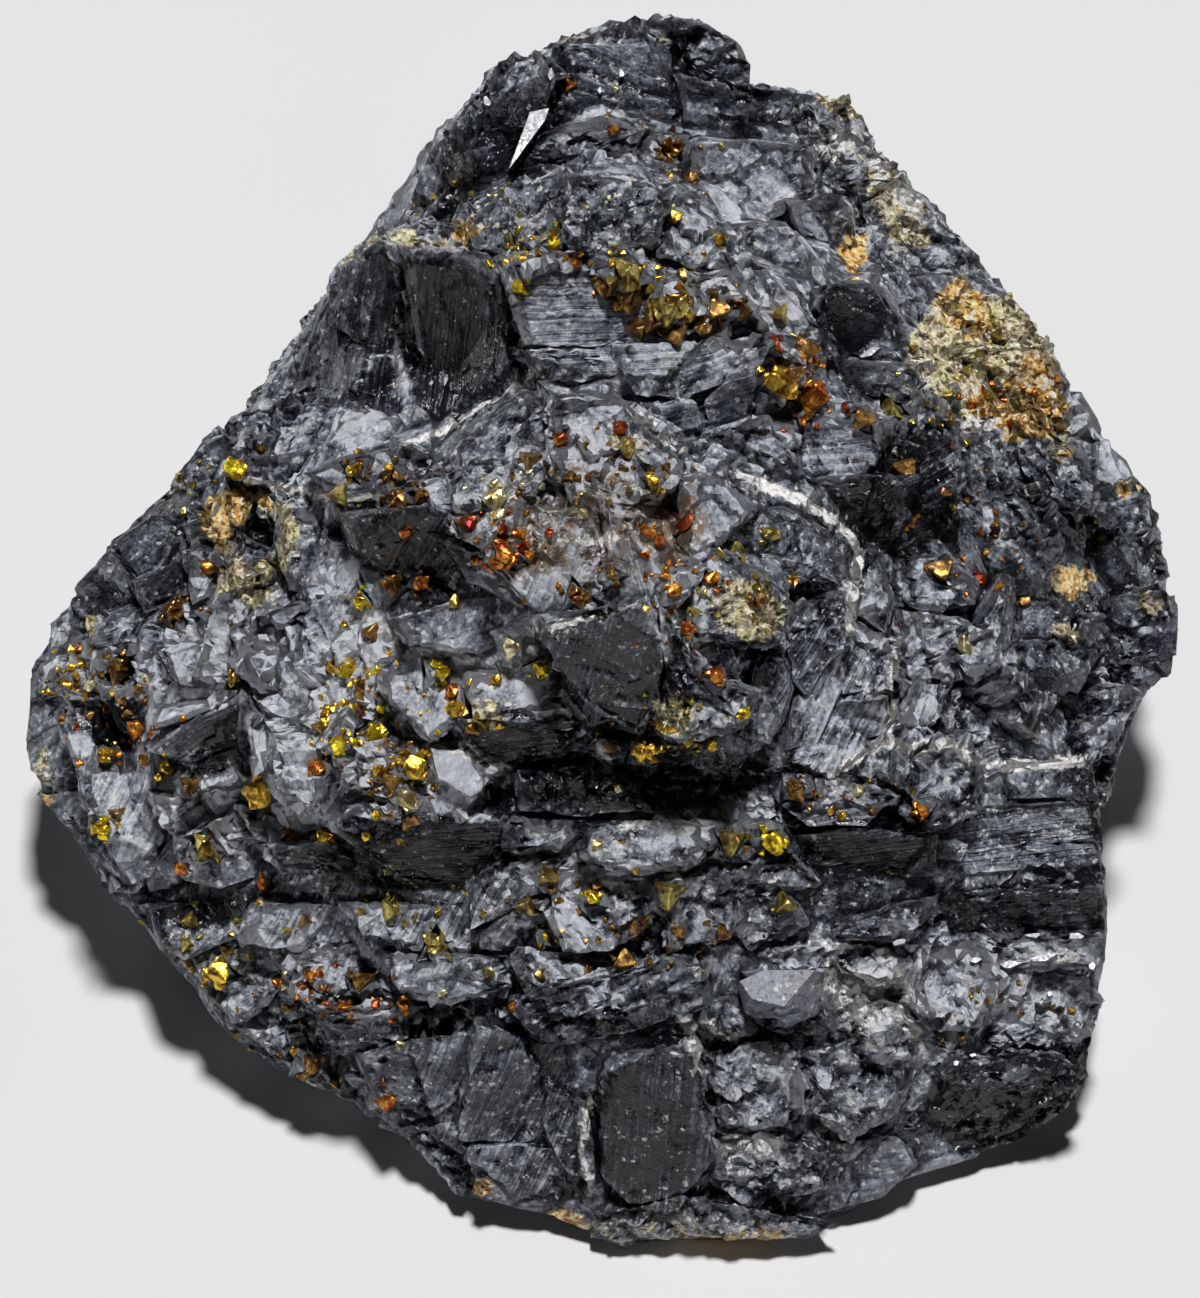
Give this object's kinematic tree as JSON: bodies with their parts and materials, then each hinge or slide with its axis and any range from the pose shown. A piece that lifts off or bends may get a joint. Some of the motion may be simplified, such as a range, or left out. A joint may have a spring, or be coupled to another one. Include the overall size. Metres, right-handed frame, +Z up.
{
  "type": "chalcopyrite crystals on sphalerite",
  "caption": "Hand specimen of dark, stepped sphalerite with small brassy chalcopyrite crystals set in its sloping display face; rests on a flat break.",
  "frame": {"origin": "middle of the bounding box's underside, on the plane that the specimen rests on", "axes": "+Z up and the smallest extent; the display face slopes down towards -Y; +X to the right as seen from in front of that face"},
  "size_m": [0.1202, 0.12, 0.0714],
  "materials": {
    "sphalerite": "dark grey-black cleavage faces, glassy to frosted, with pale films in the crevices and an ochre patch",
    "chalcopyrite_yellow": "bright metallic yellow crystal faces",
    "chalcopyrite_gold": "metallic golden crystal faces",
    "chalcopyrite_brown": "brown tarnished metallic crystal faces",
    "chalcopyrite_olive": "olive tarnished metallic crystal faces",
    "chalcopyrite_orange": "orange iridescent tarnish on metallic crystal faces",
    "chalcopyrite_red": "red iridescent tarnish on metallic crystal faces",
    "chalcopyrite_pale": "pale brassy metallic crystal faces"
  },
  "bodies": {
    "root": {"sphalerite_mass": "sphalerite", "chalcopyrite_shoulder_left": "chalcopyrite_yellow", "chalcopyrite_knuckle_upper": "chalcopyrite_gold", "chalcopyrite_knuckle_lower": "chalcopyrite_brown", "chalcopyrite_slope_left": "chalcopyrite_brown", "chalcopyrite_slope_high": "chalcopyrite_brown", "chalcopyrite_slope_high_bright": "chalcopyrite_orange", "chalcopyrite_slope_mid": "chalcopyrite_yellow", "chalcopyrite_rim_left": "chalcopyrite_yellow", "chalcopyrite_rim_left_crust": "chalcopyrite_brown", "chalcopyrite_rim_left_low": "chalcopyrite_gold", "chalcopyrite_lobe_edge_upper": "chalcopyrite_gold", "chalcopyrite_lobe_edge_lower": "chalcopyrite_brown", "chalcopyrite_lobe_corner": "chalcopyrite_yellow", "chalcopyrite_lobe_facet": "chalcopyrite_gold", "chalcopyrite_lobe_large": "chalcopyrite_gold", "chalcopyrite_lobe_triangle": "chalcopyrite_olive", "chalcopyrite_centre_pair": "chalcopyrite_yellow", "chalcopyrite_centre_streak": "chalcopyrite_yellow", "chalcopyrite_centre_streak_low": "chalcopyrite_yellow", "chalcopyrite_cluster_upper": "chalcopyrite_gold", "chalcopyrite_cluster_pale": "chalcopyrite_pale", "chalcopyrite_ledge_left": "chalcopyrite_gold", "chalcopyrite_terrace_left": "chalcopyrite_gold", "chalcopyrite_terrace_triangle": "chalcopyrite_olive", "chalcopyrite_terrace_group": "chalcopyrite_brown", "chalcopyrite_terrace_group_low": "chalcopyrite_orange", "chalcopyrite_terrace_group_right": "chalcopyrite_orange", "chalcopyrite_edge_low_left": "chalcopyrite_brown", "chalcopyrite_shelf_upper": "chalcopyrite_olive", "chalcopyrite_shelf_left": "chalcopyrite_olive", "chalcopyrite_shelf_bright": "chalcopyrite_yellow", "chalcopyrite_shelf_middle": "chalcopyrite_yellow", "chalcopyrite_shelf_olive": "chalcopyrite_olive", "chalcopyrite_shelf_low": "chalcopyrite_brown", "chalcopyrite_shelf_right": "chalcopyrite_olive", "chalcopyrite_overhang_olive": "chalcopyrite_olive", "chalcopyrite_overhang_yellow": "chalcopyrite_yellow", "chalcopyrite_overhang_nodule": "chalcopyrite_brown", "chalcopyrite_nose_left": "chalcopyrite_red", "chalcopyrite_nose_red_row": "chalcopyrite_orange", "chalcopyrite_nose_ledge": "chalcopyrite_olive", "chalcopyrite_nose_brown": "chalcopyrite_brown", "chalcopyrite_nose_middle": "chalcopyrite_brown", "chalcopyrite_nose_top": "chalcopyrite_gold", "chalcopyrite_nose_right": "chalcopyrite_orange", "chalcopyrite_nose_foot_left": "chalcopyrite_yellow", "chalcopyrite_chin_left": "chalcopyrite_gold", "chalcopyrite_chin_right": "chalcopyrite_yellow", "chalcopyrite_brow_left": "chalcopyrite_yellow", "chalcopyrite_brow_chain": "chalcopyrite_olive", "chalcopyrite_brow_cluster": "chalcopyrite_olive", "chalcopyrite_brow_cluster_right": "chalcopyrite_brown", "chalcopyrite_crest_arch": "chalcopyrite_brown", "chalcopyrite_brow_end": "chalcopyrite_gold", "chalcopyrite_brow_end_low": "chalcopyrite_orange", "chalcopyrite_cliff_brown": "chalcopyrite_brown", "chalcopyrite_cliff_olive": "chalcopyrite_olive", "chalcopyrite_terrace_right": "chalcopyrite_brown", "chalcopyrite_ledge_right": "chalcopyrite_orange"}
  },
  "joints": []
}
